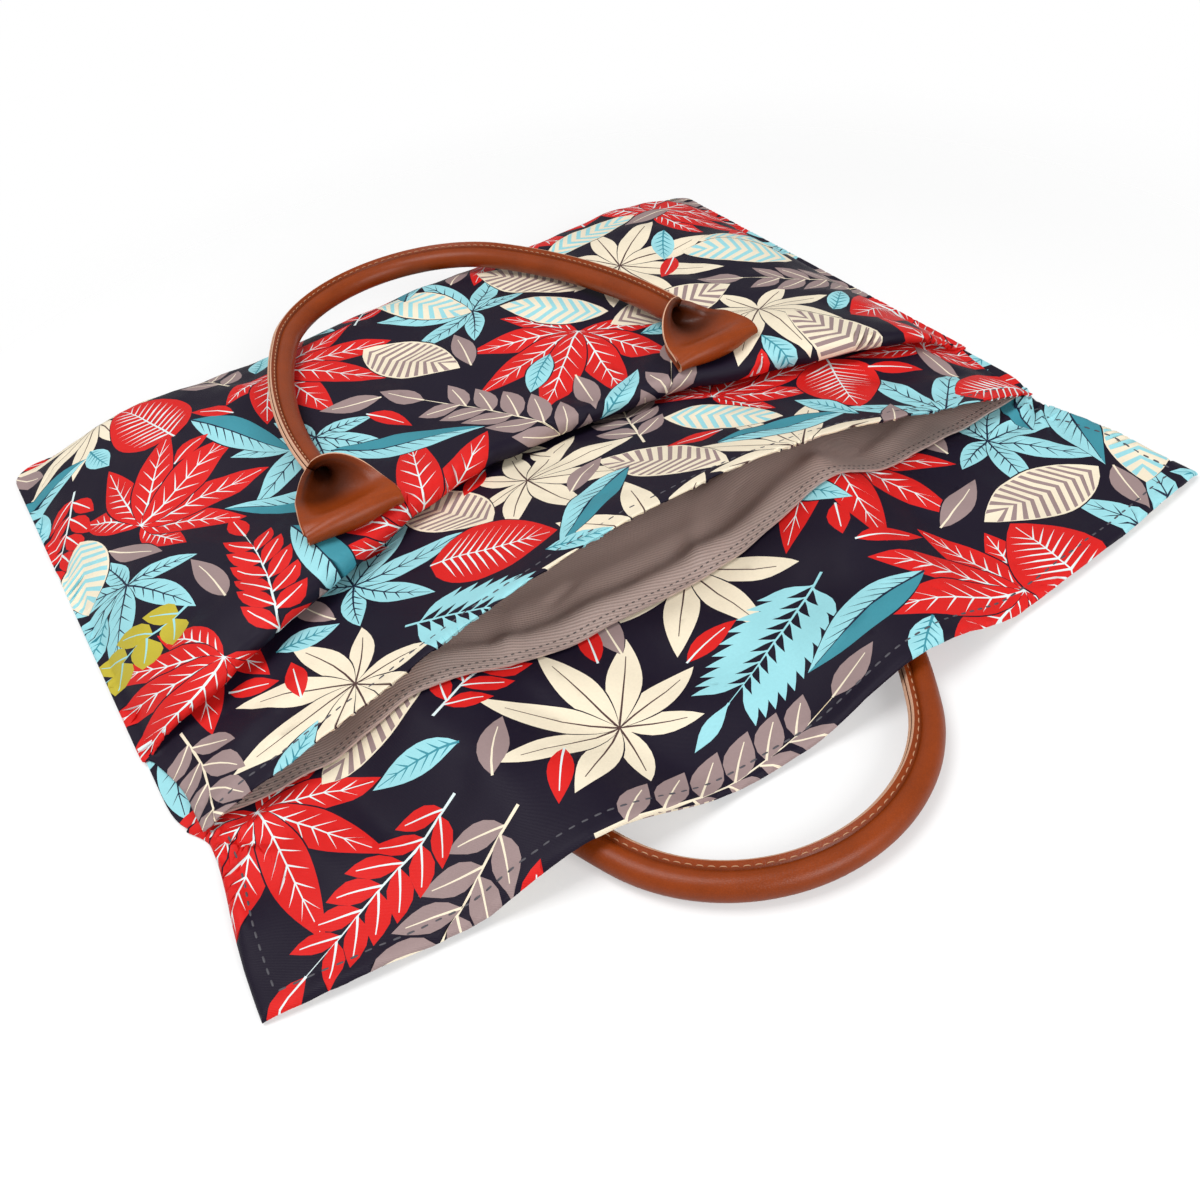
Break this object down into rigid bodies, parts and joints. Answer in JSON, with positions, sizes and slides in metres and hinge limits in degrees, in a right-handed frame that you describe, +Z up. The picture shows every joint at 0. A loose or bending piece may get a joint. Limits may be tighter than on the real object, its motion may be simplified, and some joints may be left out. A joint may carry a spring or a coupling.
{
  "type": "laptop bag",
  "caption": "Flat fabric laptop bag with an all-over leaf print, taupe lining, a back flap past its open mouth and rolled leather handles",
  "frame": {"origin": "on the flat underside of the back panel, in the middle of the bag's width", "axes": "X runs across the bag from left to right, -Y points out of the mouth, +Z points up from the back panel through the front panel as the bag lies on its back"},
  "size_m": [0.4, 0.4295, 0.0479],
  "materials": {
    "printed_cloth": "smooth printed twill",
    "padding": "soft wadding",
    "lining": "satin twill",
    "leather": "satin",
    "cord": "twisted cotton"
  },
  "bodies": {
    "bag": {"front_panel": "printed_cloth", "front_padding": "padding", "front_lining": "lining", "back_panel": "printed_cloth", "back_padding": "padding", "back_lining": "lining", "flap_facing": "printed_cloth", "front_left_tab": "leather", "front_right_tab": "leather", "back_left_tab": "leather", "back_right_tab": "leather"},
    "front_handle": {"front_handle": "leather", "front_handle_core": "cord"},
    "back_handle": {"back_handle": "leather", "back_handle_core": "cord"}
  },
  "joints": [
    {"name": "front_handle_swing", "type": "hinge", "parent": "bag", "child": "front_handle", "pos_m": [0, -0.012, 0.03456], "axis": [1, 0, 0], "range_deg": [0, 140]},
    {"name": "back_handle_swing", "type": "hinge", "parent": "bag", "child": "back_handle", "pos_m": [0, -0.045, 0.0015], "axis": [1, 0, 0], "range_deg": [0, 120]}
  ]
}
